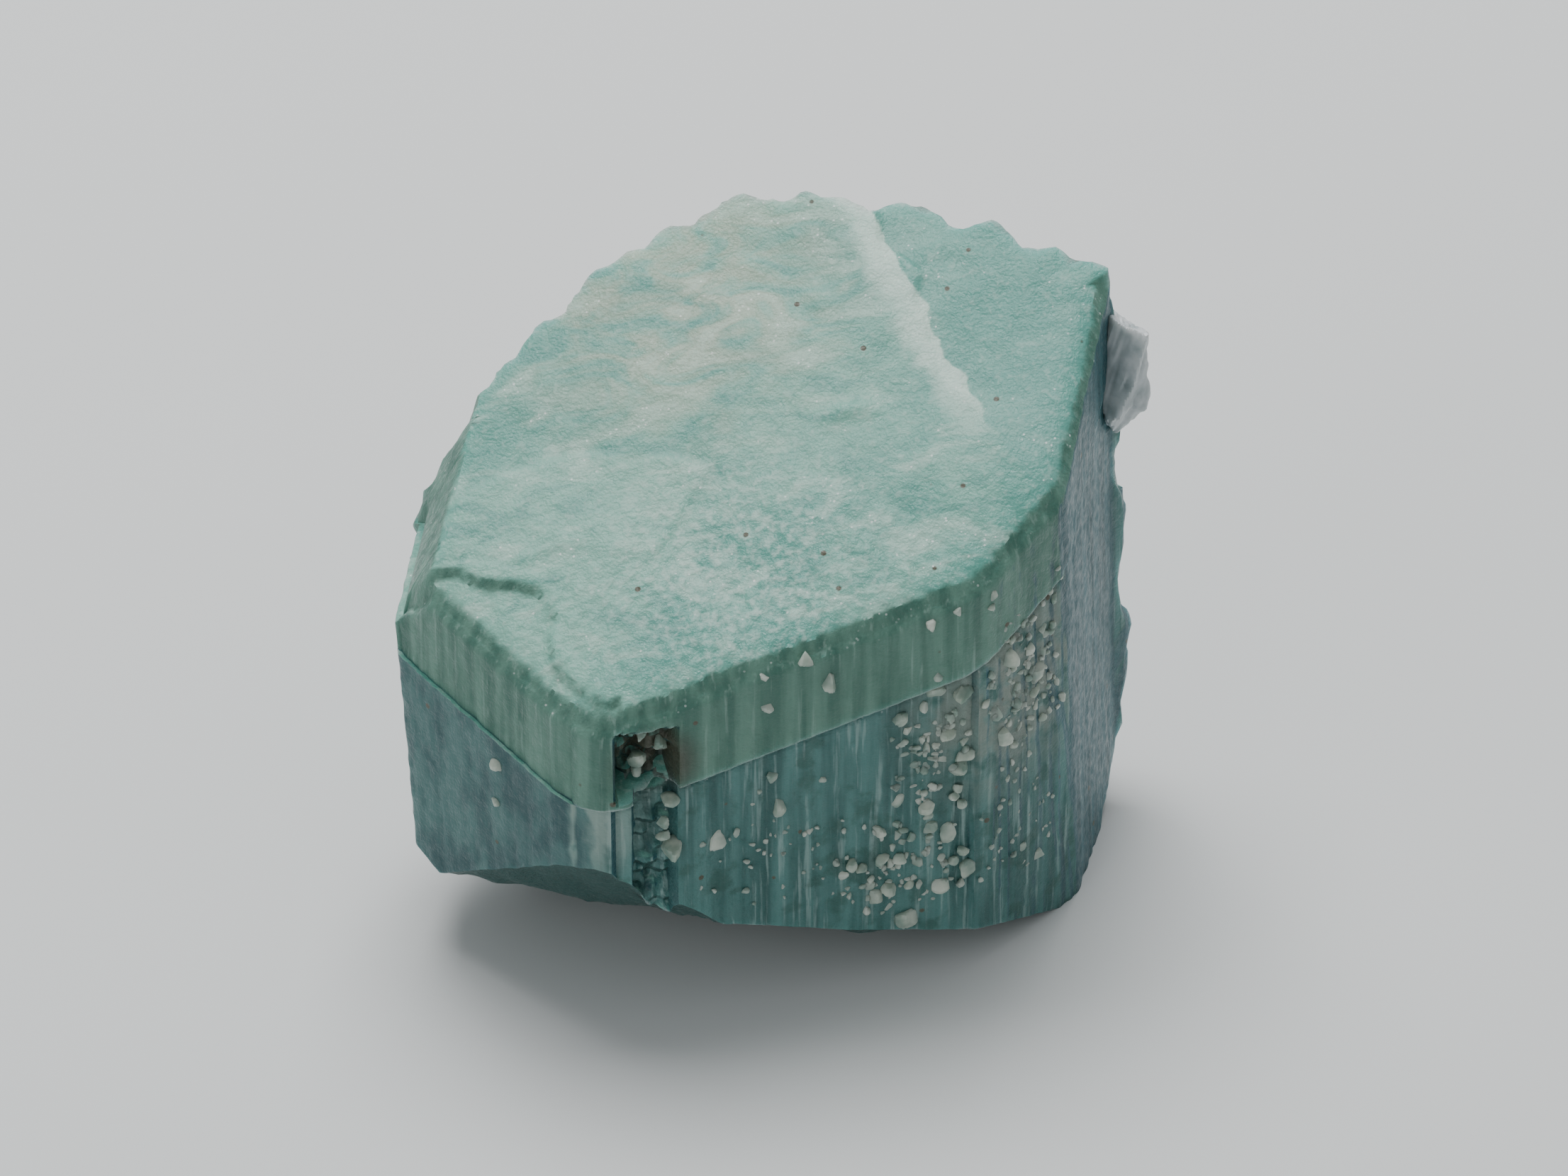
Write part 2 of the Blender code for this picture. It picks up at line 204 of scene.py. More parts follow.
drifts = np.concatenate([drifts, np.zeros((len(REAR_RIM), 2))])
middle = feet + MIDDLE_HEIGHT * drifts
runs = np.roll(middle, -1, axis=0) - middle
lengths = np.linalg.norm(runs, axis=1)
outward = np.stack([runs[:, 1], -runs[:, 0]], -1) / lengths[:, None]
spacing = np.where(np.arange(len(feet)) < REAR, COLUMN_WIDTH, REAR_COLUMN_WIDTH)
numbers = np.maximum(2, np.round(lengths / spacing)).astype(int)
wall = np.repeat(np.arange(len(feet)), numbers)
share = np.concatenate([np.arange(n) / n for n in numbers])
walk = (np.cumsum(lengths) - lengths)[wall] + share * lengths[wall]
base = feet[wall] * (1.0 - share[:, None]) + np.roll(feet, -1, axis=0)[wall] * share[:, None]
drift = drifts[wall] * (1.0 - share[:, None]) + np.roll(drifts, -1, axis=0)[wall] * share[:, None]
turn = [(math.exp(-(k / TURN_SOFTNESS) ** 2), k) for k in range(-TURN_COLUMNS, TURN_COLUMNS + 1)]
facing = sum(weight * np.roll(outward[wall], k, axis=0) for weight, k in turn)
facing /= np.linalg.norm(facing, axis=1, keepdims=True)


def per_column(values):
    """One value a wall as one a column; a column on a corner takes the mean of its two walls."""
    return np.where(share == 0.0, (values[wall] + values[wall - 1]) / 2.0, values[wall])


def on(*names):
    """1 on the columns of the named walls."""
    return per_column(np.isin(np.arange(len(feet)), names).astype(float))


rear = per_column((np.arange(len(feet)) >= REAR).astype(float))
corner_walk = np.cumsum(lengths)[:RIGHT_SIDE]


def lift(face, x, y):
    """Height of a plane over a point in plan: what is left of its distance, over its upright part."""
    return (face[3] - face[0] * x - face[1] * y) / face[2]


def reach(face):
    """Height at which each column meets a plane: as lift, along the drift of the column."""
    return (face[3] - base @ face[:2]) / (face[2] + drift @ face[:2])


def under_height(x, y):
    """The underside: the highest of its broken faces, and 0 where the stone rests."""
    return np.maximum(0.0, np.max([lift(face, x, y) for face in under_planes], axis=0))


def top_height(x, y):
    """The top: the lower of the cleavage face and the left bevel, plus relief.

    The relief adds low growth steps, a fine grain that is stronger on the sugary front, a rise or a
    drop inside each terrace's outline, and one thin scale that stands up near the middle.
    """
    place = np.stack([x, y, 0.0 * x], -1)
    plain = np.minimum(lift(top_plane, x, y), lift(bevel, x, y))
    swell = ripples(place, 6.0, 21)
    steps = swell - np.sin(6.0 * np.pi * swell) / (6.0 * np.pi)
    relief = STEP_HEIGHT * steps + 0.018 * ripples(place, 0.9, 22)
    relief += 0.03 * ripples(place, 0.42, 23) * smooth(-y, 1.0, 7.0)
    relief += 0.05 * np.maximum(0.0, ripples(place, 1.4, 24)) * smooth(y, 2.0, 8.0)
    relief -= LEFT_TERRACE_DROP * inside(x, y, LEFT_TERRACE, 0.34)
    relief += MIDDLE_TERRACE_RISE * inside(x, y, MIDDLE_TERRACE, 0.4)
    relief += FLAKE_RISE * inside(x, y, FLAKE, 0.25)
    dip = RIGHT_TERRACE_DROP + RIGHT_TERRACE_DIP * (y + 1.0)
    relief -= dip * inside(x, y, RIGHT_TERRACE, 0.3) * smooth(y, -1.5, 1.0)
    from_scale = (x - SCALE_PLACE[0]) ** 2 / 0.5 + (y - SCALE_PLACE[1]) ** 2 / 0.12
    relief += SCALE_HEIGHT * np.exp(-from_scale)
    return plain + relief


def wall_relief(z, slab):
    """How far the wall stands out of the plain prism at each height of each column.

    Etched lines run upright on the right faces: waves along the wall that hardly change with height.
    Each corner is rounded by a narrow bell, the parting is a bell-shaped crack, and a hollow and a
    groove cut the front corner. At the rear each layer's stand eases into that of the next.
    """
    x = base[:, 0] + drift[:, 0] * z
    y = base[:, 1] + drift[:, 1] * z
    place = np.stack([x, y, z], -1)
    deep = TOP - place @ top_plane[:3]
    upright = np.stack([walk + 0.0 * z, 0.05 * z, 0.0 * z], -1)
    lines = np.abs(ripples(upright, 0.75, 11))
    bands = ripples(np.stack([walk + 0.0 * z, 0.35 * z, 0.0 * z], -1), 3.2, 12)
    right = on(RIGHT_PRISM, STEEP_PRISM)
    out = -FACE_ROUGHNESS * np.abs(ripples(place, 1.3, 13)) * (1.0 - rear)
    for corner_at, width in zip(corner_walk, CORNER_WIDTHS):
        out = out - CORNER_ROUNDING * width * np.exp(-(np.abs(walk - corner_at) / (0.5 * width)) ** 1.5)
    if slab:
        out = out - LEFT_SLAB_SET_BACK * on(LEFT_PRISM) - FAINT_LINE_DEPTH * lines * (1.0 - rear)
    else:
        crack = np.exp(-((deep - PARTING_DEPTH) / CRACK_WIDTH) ** 2)
        out = out - RIGHT_BODY_RECESS * on(RIGHT_PRISM)
        out -= OTHER_RECESS * on(LEFT_SIDE, FRONT_FACET, STEEP_PRISM, RIGHT_SIDE)
        out -= right * (LINE_DEPTH * lines + BAND_DEPTH * smooth(bands, 0.2, 0.9))
        out -= FAINT_LINE_DEPTH * lines * on(RIGHT_SIDE, LEFT_SIDE, LEFT_PRISM)
        out += crack * (LEFT_CRACK_LIP * on(LEFT_PRISM) - RIGHT_CRACK_DEPTH * right)
        out += NIB_REACH * np.exp(-((z - NIB_HEIGHT) / 0.6) ** 2 - ((walk - lengths[0]) / 0.7) ** 2)
    rough = 0.8 + 0.2 * ripples(place, 0.9, 14)
    hollow = window(x, *HOLLOW_X, 0.2) * window(z, *HOLLOW_Z, 0.3) * on(RIGHT_PRISM)
    groove = window(x, *GROOVE_X, 0.3) * window(z, *GROOVE_Z, 1.6) * on(RIGHT_PRISM)
    out -= rough * (HOLLOW_DEPTH * hollow + GROOVE_DEPTH * groove * (1.0 - hollow))
    rng = np.random.default_rng(7)
    uneven = rng.uniform(-LEDGE_JITTER, LEDGE_JITTER, (len(LAYERS), len(feet)))
    uneven[0] = 0.0
    stand = np.array([behind for _, behind in LAYERS])[:, None] + uneven
    ledge = per_column(stand[0]) + 0.0 * z
    ends = np.cumsum([thick for thick, _ in LAYERS])
    for end, upper, lower in zip(ends, stand, stand[1:]):
        ledge += per_column(lower - upper) * smooth(deep, end - LEDGE_SOFT, end + LEDGE_SOFT)
    broken = 0.11 * ripples(place, 1.6, 15) + 0.05 * ripples(place, 0.55, 16)
    return out + rear * (ledge + broken)


def wall_points(z, slab):
    """Points of the wall: the column's place at each height, moved outwards by the relief there."""
    plan = base + drift * z[..., None] + facing * wall_relief(z, slab)[..., None]
    return np.concatenate([plan, z[..., None]], axis=-1)


parting_z = reach(np.append(top_plane[:3], TOP - PARTING_DEPTH))
rim_z = np.minimum(reach(top_plane), reach(bevel))
low_z = np.maximum(0.0, np.max([reach(face) for face in under_planes], axis=0))
low_plan = wall_points(low_z[None], slab=False)[0, :, :2]
low_z = under_height(low_plan[:, 0], low_plan[:, 1])
rim_plan = wall_points(rim_z[None], slab=True)[0, :, :2]
edge_soft = 1.0 - 0.8 * rear
chips = smooth(ripples(np.stack([walk, 0.0 * walk, 0.0 * walk], -1), 1.1, 17), 0.35, 1.3)
rim_z = top_height(rim_plan[:, 0], rim_plan[:, 1]) - CHIP_DEPTH * chips - EDGE_DROP * edge_soft

body_share = np.linspace(0.0, 1.0, BODY_ROWS)[:, None]
slab_share = np.linspace(0.0, 1.0, SLAB_ROWS)[:, None]
body = wall_points(low_z + (parting_z - low_z) * body_share, slab=False)
slab = wall_points(parting_z + (rim_z - parting_z) * slab_share, slab=True)
slab[..., :2] -= (EDGE_INSET * edge_soft * smooth(slab_share, 0.84, 1.0) ** 2)[..., None] * facing

inwards = np.concatenate([np.linspace(0.08, 0.3, 3), np.linspace(0.3, 1.0, UNDER_ROWS - 2)[1:-1]])
under_plan = inwards[:, None, None] * body[0, :, :2]
under_z = under_height(under_plan[..., 0], under_plan[..., 1])
under = np.concatenate([under_plan, under_z[..., None]], axis=-1)
under[..., 2] += 0.12 * smooth(under_z, 0.1, 1.2) * ripples(under, 1.8, 18)

across = np.linspace(1.0, 0.0, TOP_ROWS)[1:-1]
roof_plan = across[:, None, None] * slab[-1, :, :2]
roof_z = top_height(roof_plan[..., 0], roof_plan[..., 1])
from_edge = (1.0 - across[:, None]) * np.linalg.norm(slab[-1, :, :2], axis=-1)
roof_z -= EDGE_DROP * edge_soft * np.exp(-from_edge / EDGE_WIDTH)
roof = np.concatenate([roof_plan, roof_z[..., None]], axis=-1)
centre_top = np.array([0.0, 0.0, top_height(np.zeros(1), np.zeros(1))[0]])

skin = np.concatenate([under, body, slab, roof])[None]
crystal = closed_mesh("crystal_surface", skin, np.zeros((1, 3)), centre_top[None], crease=32.0)


def linear(hex_colour):
    """An sRGB hex colour as linear values: a straight part near black, and a power of 2.4 above it."""
    parts = [int(hex_colour[i:i + 2], 16) / 255 for i in (1, 3, 5)]
    return (*(p / 12.92 if p <= 0.04045 else ((p + 0.055) / 1.055) ** 2.4 for p in parts), 1.0)


def node(tree, kind, inputs, **settings):
    """Adds a node to a material; its inputs are plain values or the outputs of other nodes."""
    made = tree.nodes.new(kind)
    for name, value in settings.items():
        setattr(made, name, value)
    for key, value in inputs.items():
        if isinstance(value, bpy.types.NodeSocket):
            tree.links.new(value, made.inputs[key])
        else:
            made.inputs[key].default_value = value
    return made


# Amazonite lets light in for about a millimetre. Its cleaved top has a pearly gloss and is pale, with
# milky clouds; its etched sides are duller and darker, streaked upright, and greener at the slab's edge.
# Sizes of patterns are those on the stone, in millimetres. The grit of the etched faces is finer than
# 0.05 and is drawn at 0.11, so that it shows.

# Size of the grain, detail, stretch along x, y and z, and distortion
AS_LONG = (1.0, 1.0, 1.0)
PATTERNS = {
    "clouds": (6.25, 6.0, AS_LONG, 0.5),
    "mottle": (1.3333, 5.0, AS_LONG, 0.0),
    "wisps": (2.0, 7.0, (0.7, 1.5, 1.0), 1.2),
    "frost": (0.3125, 3.0, AS_LONG, 0.0),
    "streaks": (0.5882, 4.0, (1.0, 1.0, 0.07), 0.0),
    "thin streaks": (0.2222, 3.0, (1.0, 1.0, 0.05), 0.0),
    "slanting streaks": (1.1111, 5.0, (1.0, 1.0, 0.45), 0.0),
    "grit": (0.1111, 2.0, AS_LONG, 0.0),
}
# Mean gap between painted glints, bright specks of painted highlight, and between dark specks
SPECKS = {"painted glints": 0.29412, "dark specks": 1.81818}
# Centres that patches fade away from
PATCHES = {
    "milk": (-4.5, 6.0, 23.0), "front frost": (-2.0, -5.0, 18.0), "upper right": (8.6, -4.8, 12.5),
    "front corner": (-8.0, -9.6, 10.0), "hollow": (-5.2, -9.3, 12.6),
}
STEP_WAY, STEP_AT = (0.897, 0.443, 0.0), 7.1  # the right terrace's step, seen in plan
PARTING = (PARTING_DEPTH - 0.05, PARTING_DEPTH + 0.05)
# Each zone is a colour or an earlier zone, with layers over it. A layer has its colour or zone, its
# strength, and the fields that say where it lies, each with the values where it starts and is full.
ZONES = {
    "top": (
        "#5FA093",
        ("#86B9A9", 1.0, ("clouds", 0.38, 0.62)),
        ("#AFB39D", 0.75, ("milk", 9.5, 2.0), ("wisps", 0.35, 0.62)),
        ("#BAD5C8", 0.5, ("wisps", 0.5, 0.68)),
        ("#54948A", 0.6, ("wisps", 0.46, 0.32)),
        ("#D3E8DC", 0.72, ("ragged step", 2.7, 1.7), ("step", 0.0, 0.16), ("rearward", -1.5, 1.5),
         ("depth", 1.6, 0.9)),
        ("#62A196", 0.65, ("step", 0.16, 0.0)),
        ("#CFE3DA", 0.25, ("frost", 0.52, 0.7)),
        ("#D3E5DC", 0.32, ("front frost", 7.0, 2.0), ("frost", 0.4, 0.66)),
    ),
    "slab edge": (
        "#436F62",
        ("#668F80", 1.0, ("streaks", 0.3, 0.7)),
        ("#A3BEB3", 0.4, ("thin streaks", 0.55, 0.75)),
    ),
    "etched body": (
        "#35625F",
        ("#588884", 1.0, ("streaks", 0.3, 0.7)),
        ("#A5BDB9", 0.5, ("thin streaks", 0.54, 0.7)),
        ("#2F5B52", 0.6, ("mottle", 0.47, 0.36)),
        ("#8D948A", 0.75, ("upper right", 6.5, 1.5), ("mottle", 0.36, 0.56)),
        ("#9DB0A8", 0.7, ("front corner", 3.6, 0.8), ("mottle", 0.36, 0.56)),
    ),
    # Painted shade: the face turned to the right is painted darker than the other etched faces; its upright
    # streaks are the stone's
    "shaded right side": ("#285258", ("#41727A", 1.0, ("streaks", 0.25, 0.8))),
    "left side": ("#30575A", ("#4B7573", 1.0, ("slanting streaks", 0.35, 0.65))),
    "crystal": (
        "slab edge",
        ("etched body", 1.0, ("depth", *PARTING)),
        # Painted shade on the face turned to the right
        ("shaded right side", 1.0, ("facing right", 0.88, 0.95)),
        ("left side", 1.0, ("facing left", 0.6, 0.85), ("depth", *PARTING)),
        # Painted shade with a brownish tint: the hollow under the slab is painted dark olive-brown, darkest
        # at its middle
        ("#4A4C40", 1.0, ("hollow", 2.3, 0.9)),
        ("top", 1.0, ("facing up", 0.55, 0.78)),
        ("#5B5A4C", 1.0, ("dark specks", 0.075, 0.05)),
        # Painted highlight: near-white glints strewn among the wisps on faces that look up
        ("#F2F7F4", 0.7, ("painted glints", 0.2, 0.1), ("wisps", 0.52, 0.62), ("facing up", 0.0, 0.8)),
        # Painted shade: faces that look down are painted dark blue-green, the shade under the stone
        ("#2C4F4C", 1.0, ("facing up", -0.15, -0.5)),
    ),
}


def amazonite():
    """Cleaved and etched feldspar: fields of numbers, then zones of colour mixed layer over layer.

    A layer's share is its strength times the smooth ease of each of its fields.
    """
    made = bpy.data.materials.new("amazonite feldspar")
    made.use_nodes = True
    tree = made.node_tree
    shader = tree.nodes["Principled BSDF"]
    spot = node(tree, "ShaderNodeTexCoord", {}).outputs["Object"]
    to_axis = {"Vector": spot, "Location": tuple(-AXIS), "Scale": (1.0 / MM, 1.0 / MM, 1.0 / MM)}
    place = node(tree, "ShaderNodeMapping", to_axis).outputs[0]
    normal = node(tree, "ShaderNodeNewGeometry", {}).outputs["Normal"]

    fields = {}
    for name, (size, detail, stretch, distortion) in PATTERNS.items():
        moved = node(tree, "ShaderNodeMapping", {"Vector": place, "Scale": stretch}).outputs[0]
        settings = {"Vector": moved, "Scale": 1.0 / size, "Detail": detail, "Distortion": distortion}
        fields[name] = node(tree, "ShaderNodeTexNoise", settings).outputs[0]
    for name, gap in SPECKS.items():
        fields[name] = node(tree, "ShaderNodeTexVoronoi", {"Vector": place, "Scale": 1.0 / gap}).outputs[0]
    for name, centre in PATCHES.items():
        away = node(tree, "ShaderNodeVectorMath", {0: place, 1: centre}, operation="DISTANCE")
        fields[name] = away.outputs[1]
    for name, vector, way in (
        ("height", place, top_plane[:3]), ("across", place, STEP_WAY), ("rearward", place, (0.0, 1.0, 0.0)),
        ("facing up", normal, (0.0, 0.0, 1.0)), ("facing right", normal, plane(FRONT + 90.0, 0.0, 0.0)[:3]),
        ("facing left", normal, plane(FRONT - 50.0, 0.0, 0.0)[:3]),
    ):
        along = node(tree, "ShaderNodeVectorMath", {0: vector, 1: tuple(way)}, operation="DOT_PRODUCT")
        fields[name] = along.outputs[1]
    for name, field, factor, more in (
        ("depth", "height", -1.0, TOP), ("straight step", "across", -1.0, STEP_AT),
        ("step", "mottle", -1.2, "straight step"), ("ragged step", "wisps", 2.0, "step"),
        ("grain", "frost", 1.0, "grit"), ("surface", "thin streaks", 0.8, "grain"),
    ):
        inputs = {0: fields[field], 1: factor, 2: fields.get(more, more)}
        fields[name] = node(tree, "ShaderNodeMath", inputs, operation="MULTIPLY_ADD").outputs[0]

    zones = {}
    for zone, (base, *layers) in ZONES.items():
        mixed = zones[base] if base in zones else linear(base)
        for colour, share, *wheres in layers:
            for field, start, full in wheres:
                settings = {"Value": fields[field], "From Min": start, "From Max": full}
                eased = node(tree, "ShaderNodeMapRange", settings, interpolation_type="SMOOTHSTEP").outputs[0]
                share = node(tree, "ShaderNodeMath", {0: share, 1: eased}, operation="MULTIPLY").outputs[0]
            upper = zones[colour] if colour in zones else linear(colour)
            mixed = node(tree, "ShaderNodeMix", {0: share, 6: mixed, 7: upper}, data_type="RGBA").outputs[2]
        zones[zone] = mixed
    tree.links.new(zones["crystal"], shader.inputs["Base Color"])

    dull = {"Value": fields["frost"], "From Min": 0.35, "From Max": 0.65, "To Min": 0.28, "To Max": 0.55}
    tree.links.new(node(tree, "ShaderNodeMapRange", dull).outputs[0], shader.inputs["Roughness"])
    rough = {"Strength": 0.55, "Distance": 0.09 * MM, "Height": fields["surface"]}
    tree.links.new(node(tree, "ShaderNodeBump", rough).outputs[0], shader.inputs["Normal"])
    finish = {
        "IOR": 1.53, "Specular IOR Level": 0.32, "Coat Weight": 0.05, "Coat Roughness": 0.2,
        "Subsurface Weight": 0.35, "Subsurface Radius": (0.7, 1.0, 1.0), "Subsurface Scale": 1.6 * MM,
    }
    for name, value in finish.items():
        shader.inputs[name].default_value = value
    return made


crystal.data.materials.append(amazonite())
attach(crystal, "root")
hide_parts("amazonite_crystal")


# Albite grains
# Cream grains of albite, a sodium feldspar, grown onto the etched faces and in the hollow. Each is a
# small faceted body rooted in the face. The single grains come first, then the grainy patches and the
# fine flecks, which are strewn by rule.

LONGEST_POINT = 1.22  # of a faceted shape about 1 in radius
GRAIN_SINK = 0.3  # share of its radius that a grain's centre lies inside the wall
RIGHT_BODY_WALL, RIGHT_SLAB_WALL, STEEP_WALL, LEFT_WALL = 7.78, 8.07, 9.34, 12.93  # distances from the axis


def faceted(bodies, rings, columns, facets, seed):
    """Points of faceted shapes about 1 in radius, along the ways of a sphere's rings and columns.

    A point lies where its way meets the nearest of a few random planes: the least, over the planes, of
    the plane's distance over the cosine between its normal and the way.
    """
    rng = np.random.default_rng(seed)
    rise = np.linspace(-np.pi / 2, np.pi / 2, rings + 2)[:, None]
    turn = np.linspace(0.0, 2.0 * np.pi, columns, endpoint=False)[None]
    level = np.cos(rise)
    ways = np.stack([level * np.cos(turn), level * np.sin(turn), np.sin(rise) + 0.0 * turn], -1)
    normals = rng.normal(size=(bodies, facets, 3))
    normals /= np.linalg.norm(normals, axis=-1, keepdims=True)
    distances = rng.uniform(0.55, 1.0, (bodies, facets))[..., None, None]
    met = distances / np.maximum(1e-3, np.einsum("bfk,rck->bfrc", normals, ways))
    return ways * np.minimum(met.min(axis=1), LONGEST_POINT)[..., None]


# For each grain its place along the wall, its height and its radius
RIGHT_BODY_GRAINS = (
    (-7.1, 10.6, .29), (-7.3, 9.6, .23), (-7.3, 9.0, .23), (-7.0, 8.3, .41), (-5.3, 8.3, .39),
    (-4.5, 8.5, .16), (-2.9, 9.4, .39), (-3.2, 10.9, .21), (3.1, 13.5, .36), (4.4, 13.1, .52),
    (1.8, 12.5, .31), (2.8, 12.8, .26), (3.8, 12.1, .23), (3.7, 11.4, .39), (4.3, 10.2, .36),
    (4.1, 9.6, .36), (2.6, 8.9, .14), (2.9, 8.1, .43), (1.8, 8.6, .31), (4.0, 8.3, .21), (4.3, 7.9, .19),
    (3.7, 6.6, .33), (3.1, 7.0, .31), (1.1, 7.3, .31), (1.8, 7.0, .26), (2.3, 6.8, .21), (1.2, 5.9, .31),
    (1.9, 5.8, .26), (2.8, 5.9, .21), (0.0, 6.0, .29), (4.4, 5.6, .16), (4.6, 4.6, .36), (3.5, 4.2, .31),
    (1.5, 4.5, .36), (0.9, 4.1, .36), (2.2, 4.5, .26), (2.2, 2.9, .36), (-1.2, 10.3, .14),
)
RIGHT_SLAB_GRAINS = (
    (-3.4, 14.4, .31), (-3.5, 15.7, .23), (-1.9, 16.2, .35), (-1.0, 15.0, .33), (2.9, 16.8, .29),
    (3.9, 17.2, .19), (3.2, 14.4, .21),
)
STEEP_GRAINS = (
    (0.8, 17.4, .31), (0.8, 16.9, .26), (1.8, 13.8, .36), (2.0, 14.7, .23), (2.6, 15.2, .21),
    (3.0, 13.7, .23), (3.5, 12.4, .36), (3.3, 11.5, .41), (2.3, 11.5, .31), (1.5, 10.4, .46),
    (1.1, 11.7, .26), (3.8, 13.1, .23), (4.6, 16.2, .21), (3.5, 6.8, .12), (2.8, 4.4, .21), (3.8, 3.4, .26),
)
LEFT_GRAINS = ((-2.7, 10.6, .27), (-2.9, 8.8, .21))
# For each grain its place and its radius
HOLLOW_GRAINS = (
    (-5.6, -9.0, 13.4, .29), (-4.9, -8.9, 12.9, .31), (-5.8, -9.0, 12.3, .36), (-5.8, -9.1, 11.7, .19),
    (-3.5, -8.8, 11.9, .4), (-4.0, -8.9, 12.0, .3), (-3.1, -8.7, 12.1, .26),
)


def on_wall(azimuth, distance, grains):
    """Centres and radii of grains given by their place along a wall, their height and their radius.

    A centre is the wall's distance less the sunk part outwards, plus the place sideways, at its height.
    """
    grains = np.array(grains)
    out = plane(azimuth, 0.0, 0.0)[:3]
    beside = np.array([-out[1], out[0], 0.0])
    centres = out * (distance - GRAIN_SINK * grains[:, 2:]) + beside * grains[:, :1]
    centres[:, 2] = grains[:, 1]
    return np.concatenate([centres, grains[:, 2:]], axis=1)


def strewn(number, along, height, radius, seed):
    """Grains scattered over a patch, more closely at its middle: triangular draws both ways."""
    rng = np.random.default_rng(seed)
    low, high = along
    bottom, top = height
    places = rng.triangular(low, (low + high) / 2, high, number)
    heights = rng.triangular(bottom, (bottom + top) / 2, top, number)
    return np.stack([places, heights, rng.uniform(*radius, number)], -1)


grains = np.concatenate([
    on_wall(right_azimuth, RIGHT_BODY_WALL, RIGHT_BODY_GRAINS),
    on_wall(right_azimuth, RIGHT_SLAB_WALL, RIGHT_SLAB_GRAINS),
    on_wall(steep_azimuth, STEEP_WALL, STEEP_GRAINS),
    on_wall(left_azimuth, LEFT_WALL, LEFT_GRAINS),
    HOLLOW_GRAINS,
    on_wall(right_azimuth, RIGHT_BODY_WALL, strewn(70, (1.2, 4.7), (8.0, 12.8), (0.07, 0.2), 31)),
    on_wall(right_azimuth, RIGHT_BODY_WALL, strewn(80, (-1.0, 4.7), (2.6, 8.0), (0.06, 0.2), 32)),
    on_wall(right_azimuth, RIGHT_BODY_WALL, strewn(40, (-6.6, 1.0), (4.4, 10.4), (0.05, 0.12), 33)),
    on_wall(steep_azimuth, STEEP_WALL, strewn(120, (0.4, 5.0), (8.0, 17.0), (0.07, 0.2), 34)),
    on_wall(steep_azimuth, STEEP_WALL, strewn(40, (0.4, 5.0), (2.5, 9.0), (0.05, 0.13), 35)),
])
stretch = np.random.default_rng(37).uniform(0.75, 1.35, (len(grains), 1, 1, 3))
shapes = faceted(len(grains), rings=12, columns=16, facets=9, seed=36) * stretch * grains[:, None, None, 3:]
shapes = shapes + grains[:, None, None, :3]
albite_grains = closed_mesh("albite_grains", shapes[:, 1:-1], shapes[:, 0, 0], shapes[:, -1, 0], crease=24.0)


# Albite and the pale feldspar are milky and let light in for less than a millimetre. Their grown faces
# have a soft gloss, and faint clouds about a millimetre wide.
CLOUD_SIZE = 0.90909


def pale_feldspar(name, dark, light):
    """Milky feldspar: its two colours mixed by one soft noise."""
    made = bpy.data.materials.new(name)
    made.use_nodes = True
    tree = made.node_tree
    shader = tree.nodes["Principled BSDF"]
    spot = node(tree, "ShaderNodeTexCoord", {}).outputs["Object"]
    to_mm = {"Vector": spot, "Scale": (1.0 / MM, 1.0 / MM, 1.0 / MM)}
    place = node(tree, "ShaderNodeMapping", to_mm).outputs[0]
    cloudy = {"Vector": place, "Scale": 1.0 / CLOUD_SIZE, "Detail": 4.0}
    cloud = node(tree, "ShaderNodeTexNoise", cloudy).outputs[0]
    share = node(tree, "ShaderNodeMapRange", {"Value": cloud, "From Min": 0.35, "From Max": 0.65}).outputs[0]
    colour = node(tree, "ShaderNodeMix", {0: share, 6: linear(dark), 7: linear(light)}, data_type="RGBA")
    tree.links.new(colour.outputs[2], shader.inputs["Base Color"])
    finish = {
        "Roughness": 0.38, "IOR": 1.53, "Subsurface Weight": 0.5,
        "Subsurface Radius": (1.0, 0.95, 0.85), "Subsurface Scale": 0.8 * MM,
    }
    for key, value in finish.items():
        shader.inputs[key].default_value = value
    return made


albite_grains.data.materials.append(pale_feldspar("albite", "#7F968B", "#C6CEC0"))
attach(albite_grains, "root")
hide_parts("amazonite_crystal")


# Side crystal
# A small lumpy crystal of nearly white feldspar, grown onto the right side near the rear. It is one
# faceted body, worn into soft lumps: two sizes of waves on its faces.

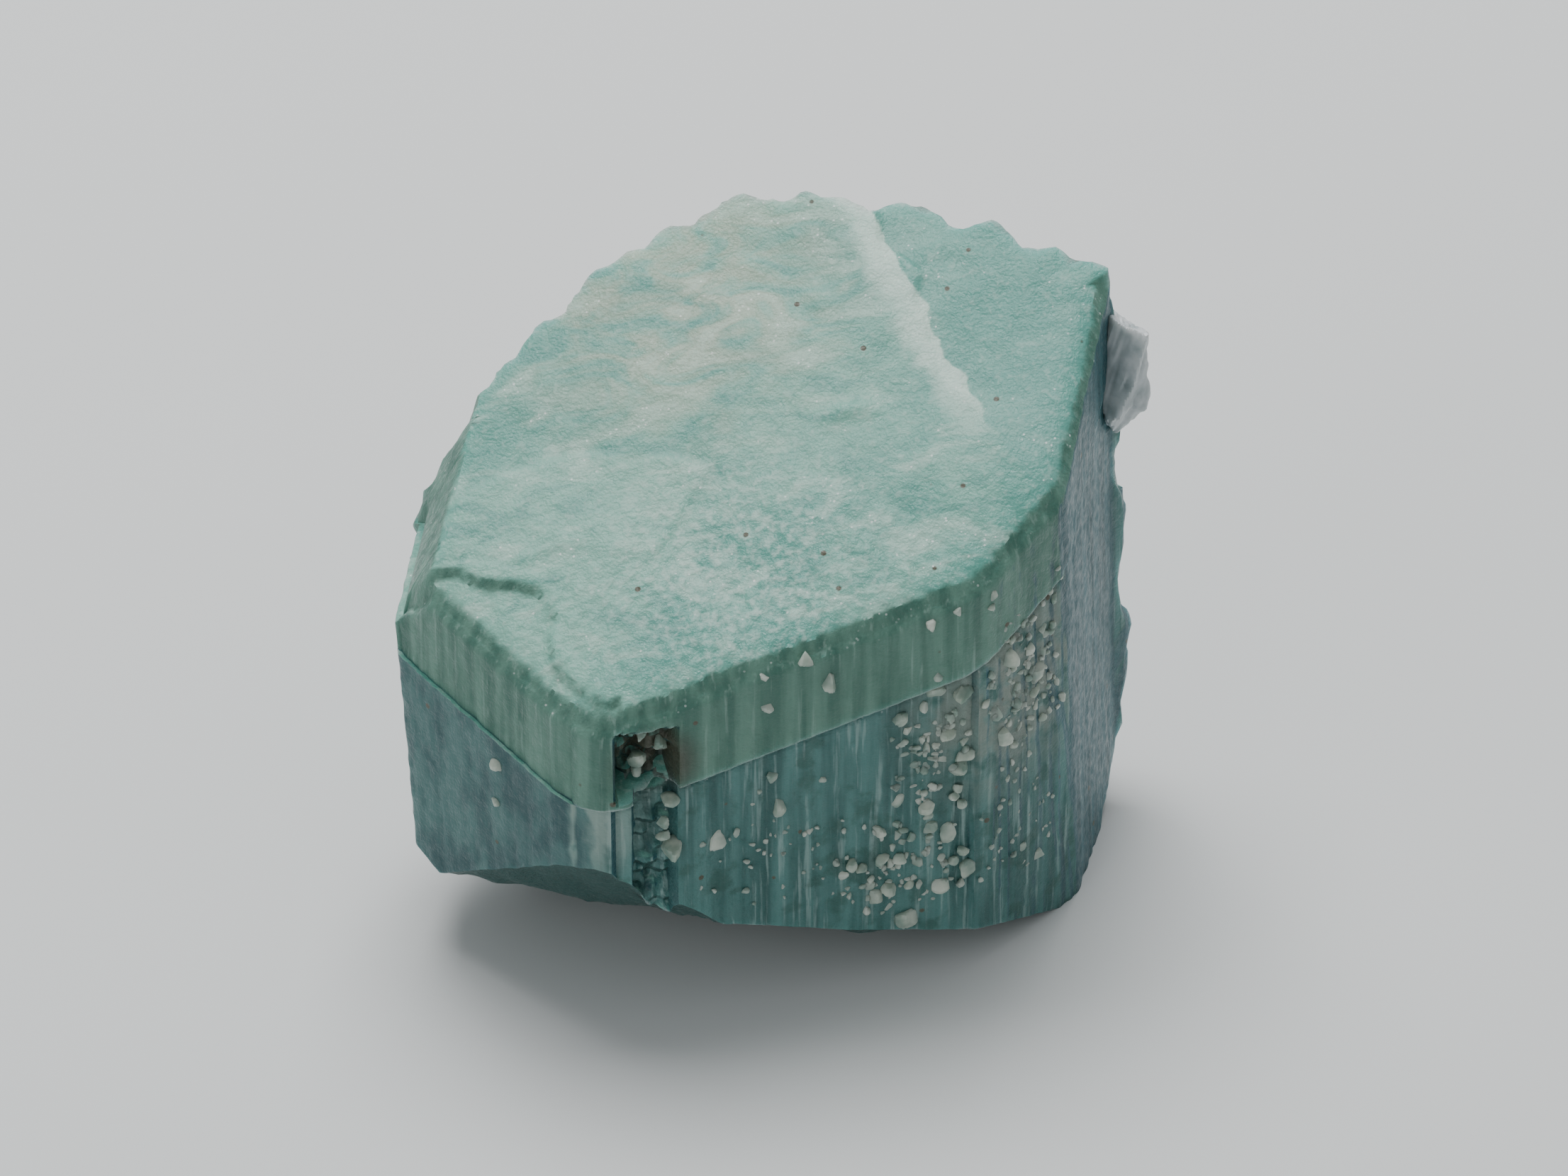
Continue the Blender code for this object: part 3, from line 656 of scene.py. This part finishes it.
SIDE_CENTRE, SIDE_RADII = (12.25, 5.3, 20.3), (1.3, 1.8, 2.85)
shape = faceted(1, rings=70, columns=96, facets=26, seed=44)
lumps = 0.05 * ripples(shape, 0.6, 45) + 0.02 * ripples(shape, 0.2, 46)
shape = shape * (1.0 + lumps[..., None]) * SIDE_RADII + SIDE_CENTRE
side_crystal = closed_mesh("side_crystal", shape[:, 1:-1], shape[:, 0, 0], shape[:, -1, 0], crease=30.0)
side_crystal.data.materials.append(pale_feldspar("pale feldspar", "#A3AEB0", "#D2D7D9"))
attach(side_crystal, "root")
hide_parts("amazonite_crystal")


# Floor, light and camera
# A plain pale floor of matt paint, a broad soft light above and behind, and a weak one at the front
# left. The camera looks down at 36.5 degrees from about 290 mm away.

FLOOR_HALF = 3.0
floor_mesh = bpy.data.meshes.new("floor")
corners = [(-1, -1), (1, -1), (1, 1), (-1, 1)]
floor_mesh.from_pydata([(x * FLOOR_HALF, y * FLOOR_HALF, 0.0) for x, y in corners], [], [(0, 1, 2, 3)])
floor = bpy.data.objects.new("floor", floor_mesh)
bpy.context.scene.collection.objects.link(floor)
paint = bpy.data.materials.new("pale matt floor")
paint.use_nodes = True
matt = paint.node_tree.nodes["Principled BSDF"]
matt.inputs["Base Color"].default_value = linear("#E4E6E6")
matt.inputs["Roughness"].default_value = 0.9
floor_mesh.materials.append(paint)


def soft_light(name, place, turn, size, power):
    """A square area light, in metres; turn is its rotation in degrees from looking straight down."""
    lamp = bpy.data.lights.new(name, "AREA")
    lamp.size = size
    lamp.energy = power
    made = bpy.data.objects.new(name, lamp)
    made.location = place
    made.rotation_euler = [math.radians(angle) for angle in turn]
    bpy.context.scene.collection.objects.link(made)


soft_light("key light", (-0.03, 0.12, 0.33), (-19.0, -5.0, 0.0), 0.22, 1.3)
soft_light("fill light", (-0.3, -0.32, 0.2), (62.0, 0.0, -43.0), 0.3, 0.3)

world = bpy.data.worlds.new("studio")
world.use_nodes = True
sky = world.node_tree.nodes["Background"]
sky.inputs["Color"].default_value = linear("#E4EAEC")
sky.inputs["Strength"].default_value = 0.42
bpy.context.scene.world = world

lens = bpy.data.cameras.new("camera")
lens.lens = 168.4
lens.sensor_width = 36.0
camera = bpy.data.objects.new("camera", lens)
camera.location = (0.000303, -0.223041, 0.178447)
camera.rotation_euler = (math.radians(53.5), 0.0, 0.0)
bpy.context.scene.collection.objects.link(camera)
bpy.context.scene.camera = camera
